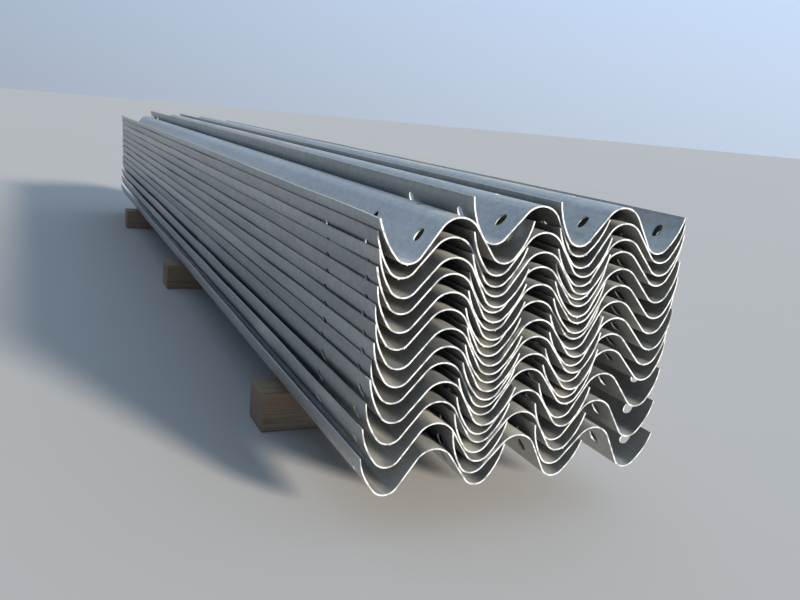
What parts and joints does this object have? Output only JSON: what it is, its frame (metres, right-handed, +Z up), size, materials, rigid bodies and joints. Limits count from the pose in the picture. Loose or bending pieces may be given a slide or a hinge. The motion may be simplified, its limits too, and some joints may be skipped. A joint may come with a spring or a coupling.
{
  "type": "stack of w-beam guardrail sections",
  "caption": "Free-standing stack of galvanised two-wave highway guardrail sections, nested open side up in shingled columns on timber bearers, with splice slots and post bolt holes at each end.",
  "frame": {"origin": "on the floor, under the middle of the stack's box", "axes": "+X along the rails towards their near ends, +Y across the stack to the right as seen from the near end, +Z up"},
  "size_m": [4.3332, 0.7368, 0.6615],
  "materials": {
    "galvanised_steel": "hot-dip galvanised, dull blue-grey zinc with pale cut edges",
    "sawn_timber": "rough sawn softwood, weathered brown"
  },
  "bodies": {
    "root": {"left_rail_01": "galvanised_steel", "middle_rail_01": "galvanised_steel", "right_rail_01": "galvanised_steel", "left_rail_02": "galvanised_steel", "middle_rail_02": "galvanised_steel", "right_rail_02": "galvanised_steel", "left_rail_03": "galvanised_steel", "middle_rail_03": "galvanised_steel", "right_rail_03": "galvanised_steel", "left_rail_04": "galvanised_steel", "middle_rail_04": "galvanised_steel", "right_rail_04": "galvanised_steel", "left_rail_05": "galvanised_steel", "middle_rail_05": "galvanised_steel", "right_rail_05": "galvanised_steel", "left_rail_06": "galvanised_steel", "middle_rail_06": "galvanised_steel", "right_rail_06": "galvanised_steel", "left_rail_07": "galvanised_steel", "middle_rail_07": "galvanised_steel", "right_rail_07": "galvanised_steel", "left_rail_08": "galvanised_steel", "middle_rail_08": "galvanised_steel", "right_rail_08": "galvanised_steel", "left_rail_09": "galvanised_steel", "middle_rail_09": "galvanised_steel", "right_rail_09": "galvanised_steel", "left_rail_10": "galvanised_steel", "middle_rail_10": "galvanised_steel", "right_rail_10": "galvanised_steel", "left_rail_11": "galvanised_steel", "middle_rail_11": "galvanised_steel", "right_rail_11": "galvanised_steel", "left_rail_12": "galvanised_steel", "middle_rail_12": "galvanised_steel", "right_rail_12": "galvanised_steel", "left_rail_13": "galvanised_steel", "middle_rail_13": "galvanised_steel", "right_rail_13": "galvanised_steel", "near_bearer": "sawn_timber", "middle_bearer": "sawn_timber", "far_bearer": "sawn_timber"}
  },
  "joints": []
}
